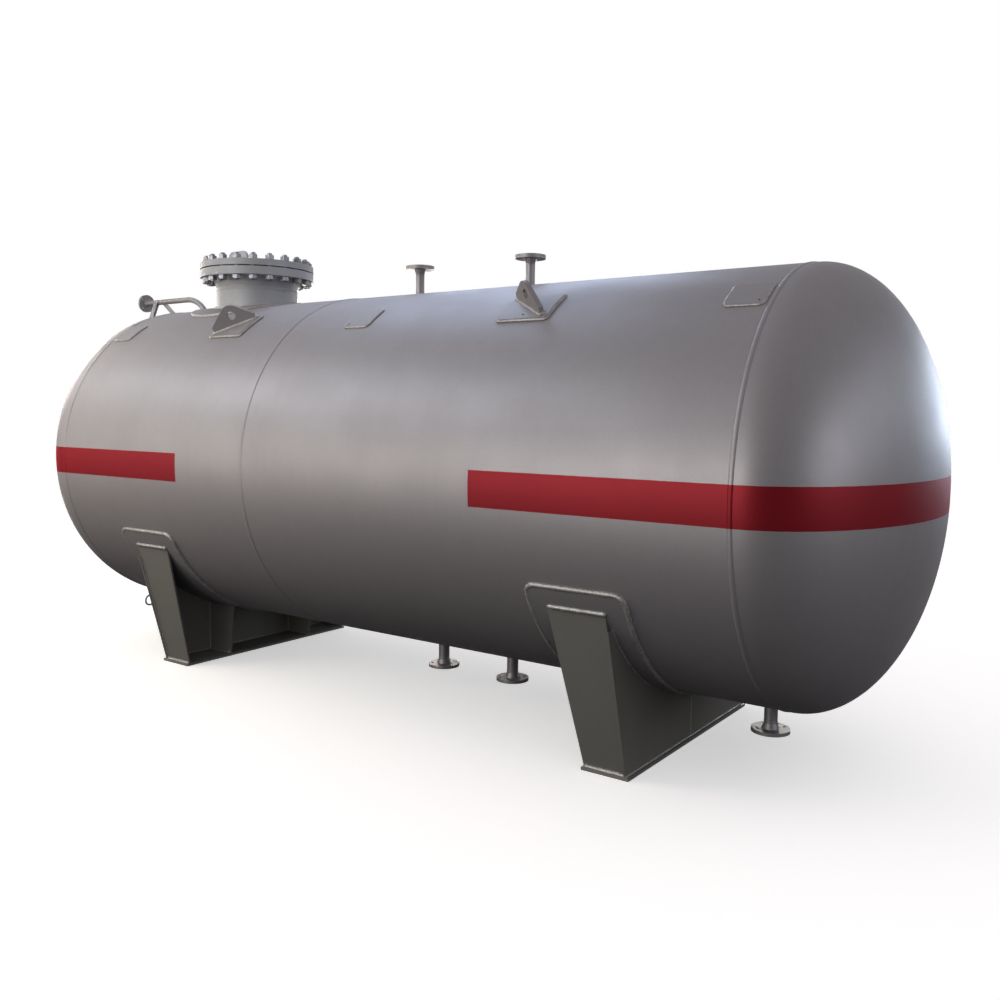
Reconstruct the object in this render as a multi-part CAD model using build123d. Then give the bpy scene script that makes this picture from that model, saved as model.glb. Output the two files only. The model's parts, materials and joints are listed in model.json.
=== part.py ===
from build123d import *

import os
from dataclasses import dataclass
from math import copysign, cos, degrees, radians, sin, sqrt, tan

# Horizontal pressure vessel on two saddles, in millimetres.
# +X runs along the vessel, +Z is up, and the origin lies on the ground
# in the middle of the four anchor bolts.

# Vessel shell and heads
inside_diameter = 1800.0
wall = 12.0
course_left_length = 1550.0
course_right_length = 2500.0
head_straight_flange = 25.0
head_ratio = 4.0  # inside diameter over inside dish depth
shell_height = 257.0  # ground to the underside of the shell
weld_gap = 0.3  # root gap between curved pieces that are welded together

# Saddles, set in from the head seams
saddle_from_seam = 615.0
base_plate_width = 220.0
base_plate_length = 1250.0
base_plate_thickness = 14.0
anchor_from_plate_end = 65.0
anchor_hole_diameter = 28.0
saddle_plate_thickness = 10.0
web_from_base_edge = 15.0
web_lip = 10.0
web_snipe = 70.0  # from the top of the end plates down to the web's cut corner
end_plate_inset = 17.0  # from the end of the base plate
end_plate_angle = 120.3  # where it meets the wear pad, from the top of the vessel
rib_foot_from_base_edge = 5.0
rib_top_width = 264.0
inner_rib_spacing = 620.0
wear_pad_width = 440.0
wear_pad_shift = 40.0  # towards the middle of the vessel from the base plate's middle
wear_pad_wrap = 130.0
wear_pad_thickness = 10.0
wear_pad_corner = 45.0

# Manway over the left saddle
manway_from_seam = 615.0
manway_projection = 213.0
gasket_thickness = 3.0
cover_thickness = 36.0
cover_face_thickness = 2.0
ring_diameter = 760.0
ring_thickness = 12.0
cover_lug_width = 170.0
cover_lug_height = 104.0
cover_lug_thickness = 16.0
cover_lug_corner = 40.0
cover_lug_hole_diameter = 50.0
cover_lug_hole_height = 36.0
cover_lug_from_edge = 160.0  # middle of the lug to the outside of the cover

# Nozzles
top_projection = 155.0
bottom_projection = 158.0
bottom_right_projection = 147.0
top_left_from_joint = 365.0
top_right_from_joint = 1072.0
bottom_left_from_joint = 547.0
bottom_middle_from_joint = 996.0
bottom_right_from_seam = 152.0

# Lifting lugs and bracket pads on the shoulders of the shell
shoulder_angle = 35.7  # from the top of the vessel
lug_from_seam = 1065.0
lug_pad_length = 250.0
lug_pad_arc = 190.0
lug_pad_thickness = 12.0
lug_pad_corner = 15.0
lug_base = 242.0
lug_turn = 36.0  # turned from the vessel's length towards the lifting point
lug_lean = 25.0  # from the vertical
lug_eye_height = 54.0
lug_eye_radius = 57.0
lug_hole_diameter = 45.0
lug_thickness = 20.0
bracket_pad_side = 150.0
bracket_pad_thickness = 8.0
bracket_pad_corner = 20.0
bracket_pad_from_seam = 100.0
middle_pad_from_joint = 465.0
bracket_vent_from_edges = 20.0
vent_hole_diameter = 10.0
lug_vent_from_edge = 28.0

# Level gauge pipe over the left head
gauge_pipe_rise = 91.0  # axis above the top of the shell
gauge_bend_radius = 233.0
gauge_bend_past_seam = 71.0  # start of the bend, outside the left seam
gauge_face_past_seam = 530.0
strut_leg = 38.0
brace_leg = 30.0
stay_thickness = 4.0
strut_past_seam = 385.0
strut_above_pipe_axis = 11.0
strut_splay = 20.5  # from the vertical, towards the front
brace_past_seam = 336.0
brace_slope = 37.0  # below the horizontal

# Tie ring on the left saddle
tie_ring_diameter = 64.0
tie_ring_bar = 10.0
tie_ring_height = 372.0


@dataclass(frozen=True)
class FlangeSize:
    """A weld-neck flange and the pipe that it ends."""

    pipe_diameter: float
    pipe_wall: float
    diameter: float
    thickness: float
    bolt_from_edge: float  # bolt circle to the flange's outside
    bolt_hole: float
    bolt_count: int
    hub_diameter: float
    hub_length: float  # sealing face to weld end
    face_diameter: float
    face_thickness: float

    @property
    def bore(self):
        return self.pipe_diameter - 2 * self.pipe_wall

    @property
    def bolt_circle(self):
        return self.diameter - 2 * self.bolt_from_edge


gauge_size = FlangeSize(
    pipe_diameter=34.0, pipe_wall=3.5,
    diameter=115.0, thickness=18.0,
    bolt_from_edge=15.0, bolt_hole=14.0, bolt_count=4,
    hub_diameter=46.0, hub_length=40.0,
    face_diameter=68.0, face_thickness=2.0,
)
top_size = FlangeSize(
    pipe_diameter=45.0, pipe_wall=3.5,
    diameter=150.0, thickness=18.0,
    bolt_from_edge=20.0, bolt_hole=18.0, bolt_count=4,
    hub_diameter=64.0, hub_length=45.0,
    face_diameter=88.0, face_thickness=2.0,
)
bottom_size = FlangeSize(
    pipe_diameter=57.0, pipe_wall=4.0,
    diameter=165.0, thickness=16.0,
    bolt_from_edge=20.0, bolt_hole=18.0, bolt_count=4,
    hub_diameter=75.0, hub_length=48.0,
    face_diameter=102.0, face_thickness=3.0,
)
manway_size = FlangeSize(
    pipe_diameter=480.0, pipe_wall=14.0,
    diameter=670.0, thickness=46.0,
    bolt_from_edge=35.0, bolt_hole=36.0, bolt_count=20,
    hub_diameter=524.0, hub_length=118.0,
    face_diameter=555.0, face_thickness=2.0,
)

# Values that follow from the sizes above
inner_radius = inside_diameter / 2
outer_radius = inner_radius + wall
axis_height = shell_height + outer_radius
half_length = (course_left_length + course_right_length) / 2
left_seam = -half_length
right_seam = half_length
joint_seam = left_seam + course_left_length
head_depth = inside_diameter / head_ratio
shell_top = axis_height + outer_radius
pad_radius = outer_radius + weld_gap + wear_pad_thickness
saddle_x = half_length - saddle_from_seam
manway_x = left_seam + manway_from_seam
manway_face_height = shell_top + manway_projection
base_inner_x = saddle_x - base_plate_width / 2
web_outer_x = saddle_x + base_plate_width / 2 - web_from_base_edge
web_inner_x = web_outer_x - saddle_plate_thickness
anchor_y = base_plate_length / 2 - anchor_from_plate_end
end_plate_foot_y = base_plate_length / 2 - end_plate_inset
end_plate_top_y = pad_radius * sin(radians(end_plate_angle))
end_plate_top_z = axis_height + pad_radius * cos(radians(end_plate_angle))
end_plate_lean = (end_plate_top_y - end_plate_foot_y) / (end_plate_top_z - base_plate_thickness)
gauge_pipe_height = shell_top + gauge_pipe_rise
lug_x = half_length - lug_from_seam


def across(x):
    """Plane across the vessel at x, with local x along +Y and local y up from the vessel's axis."""
    return Plane(origin=(x, 0, axis_height), x_dir=(0, 1, 0), z_dir=(1, 0, 0))


def cylinder_along(x_start, x_end, radius):
    """Solid cylinder about the vessel's axis."""
    return extrude(across(x_start) * Circle(radius), x_end - x_start)


def tube_along(x_start, x_end, outside, inside):
    """Hollow cylinder about the vessel's axis."""
    return extrude(across(x_start) * (Circle(outside) - Circle(inside)), x_end - x_start)


def upright_tube(outside, inside, z_start, z_end):
    """Hollow cylinder about +Z."""
    return extrude(Plane.XY.offset(z_start) * (Circle(outside) - Circle(inside)), z_end - z_start)


def curved_pad(x_middle, angle, length, arc, inside, thickness, corner):
    """Plate rolled to the shell, centred at an angle from the top towards the front."""
    start = 90 + angle - arc / 2
    outside = inside + thickness
    outer_arc = CenterArc((0, 0), outside, start, arc)
    inner_arc = CenterArc((0, 0), inside, start, arc)
    sides = [Line(outer_arc @ end, inner_arc @ end) for end in (0, 1)]
    section = make_face(Curve() + [outer_arc, inner_arc, *sides])
    pad = extrude(across(x_middle - length / 2) * section, length)
    corners = pad.edges().filter_by(lambda edge: abs(edge.length - thickness) < thickness / 100)
    return fillet(corners, corner)


def arc_degrees(arc_length, radius):
    """Angle that an arc of a given length takes up."""
    return degrees(arc_length / radius)


def shoulder_normal(angle):
    """Outward direction of the shell at an angle from the top towards the front."""
    return Vector(0, -sin(radians(angle)), cos(radians(angle)))


def vent_hole(x, angle, pad_thickness):
    """Drill through a pad on the shell at an angle from the top towards the front."""
    turned = Plane(origin=(x, 0, axis_height), x_dir=(1, 0, 0), z_dir=shoulder_normal(angle))
    return extrude(turned.offset(outer_radius) * Circle(vent_hole_diameter / 2), 2 * pad_thickness)


def head_profile(grow):
    """Half section of the right head's outside, offset outwards, from its seam to its crown."""
    rim = outer_radius + grow
    tangent = head_straight_flange
    flank = Line((0, rim), (tangent, rim))
    dish = EllipticalCenterArc((tangent, 0), head_depth + wall + grow, rim, arc_size=90)
    return make_face(Curve() + [flank, dish, Line(dish @ 0, (0, 0)), Line((0, 0), (0, rim))])


def head_solid(grow):
    """Solid within the right head's outside, its seam at the vessel's right seam."""
    section_plane = Plane(origin=(right_seam, 0, axis_height), x_dir=(1, 0, 0), z_dir=(0, -1, 0))
    vessel_axis = Axis((0, 0, axis_height), (1, 0, 0))
    return revolve(section_plane * head_profile(grow), vessel_axis)


def dished_head():
    """Right head: straight flange and half-ellipsoid dish of one wall thickness."""
    return head_solid(0) - head_solid(-wall)


def weld_neck_flange(size):
    """Flange with its sealing face at z = 0, looking up, and its neck below."""
    back = -size.face_thickness - size.thickness
    bore = size.bore / 2
    profile = Polyline(
        (bore, 0),
        (size.face_diameter / 2, 0),
        (size.face_diameter / 2, -size.face_thickness),
        (size.diameter / 2, -size.face_thickness),
        (size.diameter / 2, back),
        (size.hub_diameter / 2, back),
        (size.pipe_diameter / 2, -size.hub_length + size.pipe_wall),
        (size.pipe_diameter / 2, -size.hub_length),
        (bore, -size.hub_length),
        close=True,
    )
    body = revolve(Plane.XZ * make_face(profile), Axis.Z)
    return body - bolt_holes(size, back, 0)


def bolt_holes(size, z_start, z_end):
    """Drills for a flange's bolts, straddling its centre lines."""
    half_pitch = 180 / size.bolt_count
    circles = PolarLocations(size.bolt_circle / 2, size.bolt_count, half_pitch) * Circle(size.bolt_hole / 2)
    return extrude(Plane.XY.offset(z_start) * Sketch(circles), z_end - z_start)


def nozzle_pipe(x, size, projection):
    """Set-in pipe on top of the shell, from the shell's inside to its flange."""
    face = shell_top + projection
    tube = upright_tube(size.pipe_diameter / 2, size.bore / 2, axis_height, face - size.hub_length)
    return Pos(x, 0, 0) * tube - cylinder_along(x - size.pipe_diameter, x + size.pipe_diameter, inner_radius)


def upside_down(solid):
    """The same piece turned over about the vessel's axis."""
    return mirror(solid, about=Plane.XY.offset(axis_height))


def shell_drill(x, size):
    """Hole through the top of the shell for a set-in pipe."""
    radius = size.pipe_diameter / 2 + weld_gap
    return Pos(x, 0, axis_height) * extrude(Plane.XY * Circle(radius), outer_radius + wall)


def gauge_lines():
    """Centre lines of the level gauge pipe: its level run, and its bend down into the shell."""
    bend_x = left_seam - gauge_bend_past_seam
    pipe_start = left_seam - gauge_face_past_seam + gauge_size.hub_length
    run = Line((pipe_start, gauge_pipe_height), (bend_x - weld_gap, gauge_pipe_height))
    bend = CenterArc((bend_x, gauge_pipe_height - gauge_bend_radius), gauge_bend_radius, 90, -90)
    return [Plane.XZ * run, Plane.XZ * bend]


def along_gauge_pipe(section):
    """Sweep a section along both lengths of the level gauge pipe."""
    lengths = []
    for line in gauge_lines():
        start = Plane(origin=line @ 0, x_dir=(0, 1, 0), z_dir=line % 0)
        lengths.append(sweep(start * section, line))
    return lengths


def gauge_pipe_space():
    """What the gauge pipe takes from the pieces it touches, root gap included."""
    run, bend = along_gauge_pipe(Circle(gauge_size.pipe_diameter / 2 + weld_gap))
    return run + bend


def angle_bar(start, end, face_normal, leg):
    """Equal angle between two points, its heel on the line and one leg facing face_normal."""
    run = Vector(*end) - Vector(*start)
    section_plane = Plane(origin=start, x_dir=Vector(*face_normal).cross(run), z_dir=run)
    outline = Rectangle(leg, leg, align=(Align.CENTER, Align.MAX))
    hollow = Pos(stay_thickness, -stay_thickness) * outline
    return extrude(section_plane * (outline - hollow), run.length)


def saddle_side(z, outwards):
    """Y and z of a point on a saddle's slanted side, some way out from the end plate's face."""
    slant = sqrt(1 + end_plate_lean**2)
    return end_plate_foot_y + (z - base_plate_thickness) * end_plate_lean + outwards * slant, z


def saddle_pieces():
    """Right saddle: base plate, web in two halves, end plates, inner ribs and wear pad."""
    base_outline = Rectangle(base_plate_width, base_plate_length)
    for y in (-anchor_y, anchor_y):
        base_outline -= Pos(0, y) * Circle(anchor_hole_diameter / 2)
    base = Pos(saddle_x, 0, 0) * extrude(base_outline, base_plate_thickness)

    seat = cylinder_along(0, right_seam, pad_radius + weld_gap)
    ground = Plane(origin=(0, 0, 0), x_dir=(0, 1, 0), z_dir=(1, 0, 0))
    snipe_top = end_plate_top_z - web_snipe
    web_outline = Polyline(
        (weld_gap / 2, base_plate_thickness),
        saddle_side(base_plate_thickness, web_lip),
        saddle_side(snipe_top, web_lip),
        (weld_gap / 2, snipe_top),
        close=True,
    )
    half_web = extrude(ground.offset(web_inner_x) * make_face(web_outline), saddle_plate_thickness) - seat

    rib_side = Polyline(
        (web_inner_x, base_plate_thickness),
        (base_inner_x + rib_foot_from_base_edge, base_plate_thickness),
        (web_inner_x - rib_top_width, end_plate_top_z),
        (web_inner_x, end_plate_top_z),
        close=True,
    )
    side_plane = Plane(origin=(0, 0, 0), x_dir=(1, 0, 0), z_dir=(0, -1, 0))
    rib_space = extrude(side_plane * make_face(rib_side), end_plate_top_y, both=True) - seat

    def rib(outer_edge, inner_edge):
        """Plate between two upright lines in the cross section, as deep as the ribs are."""
        outline = Polyline(*outer_edge, *reversed(inner_edge), close=True)
        return extrude(ground * make_face(outline), right_seam) & rib_space

    rib_ends = (base_plate_thickness, end_plate_top_z)
    end_plate = rib(
        [saddle_side(z, 0) for z in rib_ends],
        [saddle_side(z, -saddle_plate_thickness) for z in rib_ends],
    )
    inner_rib = rib(
        [((inner_rib_spacing + saddle_plate_thickness) / 2, z) for z in rib_ends],
        [((inner_rib_spacing - saddle_plate_thickness) / 2, z) for z in rib_ends],
    )
    wear_pad = curved_pad(
        saddle_x - wear_pad_shift, 180, wear_pad_width, wear_pad_wrap,
        outer_radius + weld_gap, wear_pad_thickness, wear_pad_corner,
    )
    return {
        "base_plate": [base],
        "web": front_and_rear(half_web),
        "end_plates": front_and_rear(end_plate),
        "inner_ribs": front_and_rear(inner_rib),
        "wear_pad": [wear_pad],
    }


def front_and_rear(solid):
    """A piece and its mirror image across the vessel."""
    return [solid, mirror(solid, about=Plane.XZ)]


def manway_pieces():
    """Manway neck, flange, gasket, blind cover with its lifting lug, and reinforcing ring."""
    size = manway_size
    face_at = Pos(manway_x, 0, manway_face_height)
    cover_face = manway_face_height + gasket_thickness
    face_radius = size.face_diameter / 2
    gasket = Pos(manway_x, 0, 0) * upright_tube(face_radius, size.bore / 2, manway_face_height, cover_face)
    rim_low = cover_face_thickness
    rim_high = cover_face_thickness + cover_thickness
    cover = extrude(Plane.XY * Circle(face_radius), rim_low)
    cover += extrude(Plane.XY.offset(rim_low) * Circle(size.diameter / 2), cover_thickness)
    cover -= bolt_holes(size, rim_low, rim_high)

    lug_outline = Rectangle(cover_lug_width, cover_lug_height, align=(Align.CENTER, Align.MIN))
    lug_outline = fillet(lug_outline.vertices().sort_by(Axis.Y)[-2:], cover_lug_corner)
    lug_outline -= Pos(0, cover_lug_hole_height) * Circle(cover_lug_hole_diameter / 2)
    lug = extrude(Plane.XZ * lug_outline, cover_lug_thickness / 2, both=True)
    lug_x_on_cover = manway_x - size.diameter / 2 + cover_lug_from_edge
    lug_at = Pos(lug_x_on_cover, 0, cover_face + rim_high)

    ring = Pos(manway_x, 0, 0) * upright_tube(
        ring_diameter / 2, size.pipe_diameter / 2 + weld_gap, axis_height, manway_face_height
    )
    ring_low = outer_radius + weld_gap
    ring &= tube_along(left_seam, right_seam, ring_low + ring_thickness, ring_low)
    return {
        "manway_neck": [nozzle_pipe(manway_x, size, manway_projection)],
        "manway_flange": [face_at * weld_neck_flange(size)],
        "manway_gasket": [gasket],
        "manway_cover": [Pos(manway_x, 0, cover_face) * cover],
        "manway_cover_lug": [lug_at * lug],
        "manway_reinforcing_ring": [ring],
    }


def nozzle_pieces():
    """Pipe and flange of each nozzle on the top and the bottom of the shell."""
    pieces = {}
    for nozzle in (*top_nozzles, *bottom_nozzles):
        name, x, size, projection = nozzle
        pipe = nozzle_pipe(x, size, projection)
        flange = Pos(x, 0, shell_top + projection) * weld_neck_flange(size)
        if nozzle in bottom_nozzles:
            pipe, flange = upside_down(pipe), upside_down(flange)
        pieces[f"{name}_pipe"] = [pipe]
        pieces[f"{name}_flange"] = [flange]
    return pieces


def lifting_lug():
    """Right front lug plate, standing on its pad and turned towards the lifting point."""
    pad_outside = outer_radius + weld_gap + lug_pad_thickness
    outwards = shoulder_normal(shoulder_angle)
    downhill = Vector(0, -cos(radians(shoulder_angle)), -sin(radians(shoulder_angle)))
    foot = Vector(lug_x, 0, axis_height) + outwards * pad_outside
    base = Vector(1, 0, 0) * cos(radians(lug_turn)) + downhill * sin(radians(lug_turn))
    upright = Vector(0, -sin(radians(lug_lean)), cos(radians(lug_lean)))
    plate_plane = Plane(origin=foot, x_dir=base, z_dir=base.cross(upright))
    eye = plate_plane.to_local_coords(foot + upright * lug_eye_height)
    eye_at = Pos(eye.X, eye.Y)
    strip = Rectangle(lug_base, lug_eye_height)
    outline = make_hull((eye_at * Circle(lug_eye_radius)).edges() + strip.edges())
    outline -= eye_at * Circle(lug_hole_diameter / 2)
    plate = extrude(plate_plane * outline, lug_thickness / 2, both=True)
    return plate - cylinder_along(0, right_seam, pad_outside + weld_gap)


def lug_pad():
    """Right front lug's pad, with the vent hole below the lug."""
    inside = outer_radius + weld_gap
    arc = arc_degrees(lug_pad_arc, inside)
    pad = curved_pad(lug_x, shoulder_angle, lug_pad_length, arc, inside, lug_pad_thickness, lug_pad_corner)
    vent_angle = shoulder_angle + arc_degrees(lug_pad_arc / 2 - lug_vent_from_edge, inside)
    return pad - vent_hole(lug_x, vent_angle, lug_pad_thickness)


def lug_pieces():
    """The four lifting lugs and their pads."""
    pieces = {}
    for kind, solid in (("lug", lifting_lug()), ("pad", lug_pad())):
        for side, right in zip(("front", "rear"), front_and_rear(solid)):
            pieces[f"lifting_{kind}_{side}_right"] = [right]
            pieces[f"lifting_{kind}_{side}_left"] = [mirror(right, about=Plane.YZ)]
    return pieces


def bracket_pads():
    """Front row of the small pads that brackets are welded to."""
    inside = outer_radius + weld_gap
    arc = arc_degrees(bracket_pad_side, inside)
    vent_offset = bracket_pad_side / 2 - bracket_vent_from_edges
    vent_angle = shoulder_angle + arc_degrees(vent_offset, inside)
    end_x = half_length - bracket_pad_from_seam
    pads = []
    for x in (-end_x, joint_seam + middle_pad_from_joint, end_x):
        pad = curved_pad(
            x, shoulder_angle, bracket_pad_side, arc, inside, bracket_pad_thickness, bracket_pad_corner
        )
        vent_x = x + copysign(vent_offset, x)
        pads.append(pad - vent_hole(vent_x, vent_angle, bracket_pad_thickness))
    return pads


def gauge_pieces():
    """Level gauge pipe with its flange, its splayed strut and its diagonal brace."""
    size = gauge_size
    pipe = along_gauge_pipe(Circle(size.pipe_diameter / 2) - Circle(size.bore / 2))
    flange_at = Pos(left_seam - gauge_face_past_seam, 0, gauge_pipe_height) * Rot(0, -90, 0)
    taken = gauge_pipe_space() + mirror(head_solid(weld_gap), about=Plane.YZ)

    strut_x = left_seam - strut_past_seam
    drop = gauge_pipe_height - axis_height
    strut_top = (strut_x, -size.pipe_diameter / 2, gauge_pipe_height + strut_above_pipe_axis)
    strut_foot = (strut_x, strut_top[1] - drop * tan(radians(strut_splay)), strut_top[2] - drop)
    strut = angle_bar(strut_top, strut_foot, (0, -1, 0), strut_leg) - taken

    brace_x = left_seam - brace_past_seam
    brace_top = (brace_x, 0, gauge_pipe_height)
    brace_run = brace_past_seam - head_straight_flange - brace_leg
    brace_foot = (brace_x + brace_run, 0, gauge_pipe_height - brace_run * tan(radians(brace_slope)))
    brace = angle_bar(brace_top, brace_foot, (0, -1, 0), brace_leg) - taken
    return {
        "gauge_pipe": pipe,
        "gauge_flange": [flange_at * weld_neck_flange(size)],
        "gauge_pipe_strut": [strut],
        "gauge_pipe_brace": [brace],
    }


def tie_ring():
    """Round-bar ring on the outer face of the left saddle's web, half past its front edge."""
    edge_y, edge_z = saddle_side(tie_ring_height, web_lip)
    ring_x = -web_outer_x - tie_ring_bar / 2 - weld_gap
    ring = Torus((tie_ring_diameter - tie_ring_bar) / 2, tie_ring_bar / 2)
    return Pos(ring_x, -edge_y, edge_z) * Rot(0, 90, 0) * ring


def shell_pieces():
    """Both shell courses, drilled for what passes through them, and both heads."""
    left = tube_along(left_seam, joint_seam, outer_radius, inner_radius)
    left -= shell_drill(manway_x, manway_size)
    left -= gauge_pipe_space()
    right = tube_along(joint_seam, right_seam, outer_radius, inner_radius)
    for _, x, size, _ in top_nozzles:
        right -= shell_drill(x, size)
    for _, x, size, _ in bottom_nozzles:
        right -= upside_down(shell_drill(x, size))
    head = dished_head()
    return {
        "shell_course_left": [left],
        "shell_course_right": [right],
        "head_left": [mirror(head, about=Plane.YZ)],
        "head_right": [head],
    }


top_nozzles = [
    ("top_nozzle_left", joint_seam + top_left_from_joint, top_size, top_projection),
    ("top_nozzle_right", joint_seam + top_right_from_joint, top_size, top_projection),
]
bottom_nozzles = [
    ("bottom_nozzle_left", joint_seam + bottom_left_from_joint, bottom_size, bottom_projection),
    ("bottom_nozzle_middle", joint_seam + bottom_middle_from_joint, bottom_size, bottom_projection),
    ("bottom_nozzle_right", right_seam - bottom_right_from_seam, bottom_size, bottom_right_projection),
]

nodes = shell_pieces()
for piece, solids in saddle_pieces().items():
    nodes[f"saddle_right_{piece}"] = solids
    nodes[f"saddle_left_{piece}"] = [mirror(solid, about=Plane.YZ) for solid in solids]
nodes |= manway_pieces()
nodes |= nozzle_pieces()
nodes |= lug_pieces()
front_pads = bracket_pads()
nodes["bracket_pads_front"] = front_pads
nodes["bracket_pads_rear"] = [mirror(pad, about=Plane.XZ) for pad in front_pads]
nodes |= gauge_pieces()
nodes["tie_ring"] = [tie_ring()]

os.makedirs("parts", exist_ok=True)
for node, solids in nodes.items():
    shapes = [solid for piece in solids for solid in piece.solids()]
    export_step(shapes[0] if len(shapes) == 1 else Compound(children=shapes), f"parts/{node}.step")
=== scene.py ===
"""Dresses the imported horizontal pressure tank: paint, stripe, weld beads, bolting and a plain studio."""

from __future__ import annotations

import json
import logging
import math
from dataclasses import dataclass, field, replace
from enum import Enum
from typing import Any, Callable, Iterable, Sequence

import bmesh
import bpy
from mathutils import Matrix, Vector, noise

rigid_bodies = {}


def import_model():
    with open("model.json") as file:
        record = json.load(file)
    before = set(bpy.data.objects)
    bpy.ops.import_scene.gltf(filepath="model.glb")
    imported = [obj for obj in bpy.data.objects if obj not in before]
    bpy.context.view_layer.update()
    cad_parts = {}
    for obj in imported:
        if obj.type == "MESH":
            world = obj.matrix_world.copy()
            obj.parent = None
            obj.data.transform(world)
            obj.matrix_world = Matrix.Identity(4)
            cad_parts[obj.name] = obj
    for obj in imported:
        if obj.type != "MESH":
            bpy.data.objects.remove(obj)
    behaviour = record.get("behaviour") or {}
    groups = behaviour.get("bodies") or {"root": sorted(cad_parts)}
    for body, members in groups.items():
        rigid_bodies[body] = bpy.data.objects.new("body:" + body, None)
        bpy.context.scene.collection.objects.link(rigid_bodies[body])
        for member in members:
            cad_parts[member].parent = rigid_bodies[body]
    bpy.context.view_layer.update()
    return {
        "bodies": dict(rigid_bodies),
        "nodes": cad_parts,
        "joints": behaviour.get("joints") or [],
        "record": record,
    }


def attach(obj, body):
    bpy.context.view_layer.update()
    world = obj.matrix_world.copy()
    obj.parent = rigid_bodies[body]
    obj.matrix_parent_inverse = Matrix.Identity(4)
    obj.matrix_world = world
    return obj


LOG = logging.getLogger("pressure_tank")
MM = 0.001
ROOT = "root"
CORNER_STEPS = 8
ROLLED_STEP = 40.0


class Slot(Enum):
    """Material slots of the record."""

    VESSEL = "vessel_paint"
    MANWAY = "manway_paint"
    GASKET = "gasket_rubber"


class Side(Enum):
    """Long sides of the tank, by the sign of their Y."""

    FRONT = -1
    REAR = 1


class End(Enum):
    """Ends of the tank, by the sign of their X."""

    LEFT = -1
    RIGHT = 1


class Level(Enum):
    """Top and bottom of the tank, by the sign of their height over its axis."""

    TOP = 1
    BOTTOM = -1


def linear(colour: str) -> tuple[float, float, float, float]:
    """Turns an sRGB hex colour into linear light.

    Args:
        colour: Six hex digits after a hash sign.

    Returns:
        Red, green, blue and an alpha of 1.
    """
    channels = [int(colour[start:start + 2], 16) / 255 for start in (1, 3, 5)]
    light = [c / 12.92 if c <= 0.04045 else ((c + 0.055) / 1.055) ** 2.4 for c in channels]
    return light[0], light[1], light[2], 1.0


def per_metre(size_mm: float) -> float:
    """Texture scale for a pattern that repeats at a size in millimetres."""
    return 1.0 / (size_mm * MM)


def add_node(
    tree: bpy.types.NodeTree, kind: str, inputs: dict[str | int, Any] | None = None, **settings: Any
) -> bpy.types.Node:
    """Adds a node with its settings, input values and links.

    Args:
        tree: Node tree that takes the node.
        kind: Blender's type name of the node.
        inputs: Value of each input by name or number. A socket is linked instead.
        **settings: Properties of the node.

    Returns:
        The new node.
    """
    node = tree.nodes.new(kind)
    for name, value in settings.items():
        setattr(node, name, value)
    for name, value in (inputs or {}).items():
        if isinstance(value, bpy.types.NodeSocket):
            tree.links.new(value, node.inputs[name])
        else:
            node.inputs[name].default_value = value
    return node


def empty_material(name: str) -> tuple[bpy.types.Material, bpy.types.NodeTree]:
    """Makes a node material with nothing in it.

    Args:
        name: The material's name.

    Returns:
        The material and its node tree.
    """
    material = bpy.data.materials.new(name)
    material.use_nodes = True
    material.node_tree.nodes.clear()
    return material, material.node_tree


@dataclass(frozen=True)
class Stripe:
    """Painted band along the middle of the tank, with a bare stretch between its two parts."""

    colour: str = "#781720"
    bottom: float = 1087.0
    top: float = 1236.0
    gap_start: float = -987.0
    gap_end: float = 919.0
    masking_wobble: float = 1.5
    wobble_length: float = 40.0

    def mask(self, tree: bpy.types.NodeTree, place: bpy.types.NodeSocket) -> bpy.types.NodeSocket:
        """Builds the stripe's mask.

        Args:
            tree: Node tree of the paint.
            place: Object coordinates.

        Returns:
            Socket that is 1 on the stripe and 0 elsewhere.
        """
        wobble = add_node(
            tree, "ShaderNodeTexNoise", {"Vector": place, "Scale": per_metre(self.wobble_length), "Detail": 1.0}
        )
        shift = add_node(
            tree, "ShaderNodeMath", {0: wobble.outputs["Fac"], 1: self.masking_wobble * MM}, operation="MULTIPLY"
        )
        axes = add_node(tree, "ShaderNodeSeparateXYZ", {"Vector": place})
        height = add_node(tree, "ShaderNodeMath", {0: axes.outputs["Z"], 1: shift.outputs[0]}, operation="ADD")
        middle = (self.top + self.bottom) / 2 * MM
        reach = (self.top - self.bottom) / 2 * MM
        band = add_node(
            tree, "ShaderNodeMath", {0: height.outputs[0], 1: middle, 2: reach}, operation="COMPARE"
        )
        gap_middle = (self.gap_start + self.gap_end) / 2 * MM
        gap_reach = (self.gap_end - self.gap_start) / 2 * MM
        along = add_node(tree, "ShaderNodeMath", {0: axes.outputs["X"], 1: shift.outputs[0]}, operation="ADD")
        bare = add_node(
            tree, "ShaderNodeMath", {0: along.outputs[0], 1: gap_middle, 2: gap_reach}, operation="COMPARE"
        )
        painted = add_node(
            tree, "ShaderNodeMath", {0: band.outputs[0], 1: bare.outputs[0]}, operation="SUBTRACT", use_clamp=True
        )
        return painted.outputs[0]


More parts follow.
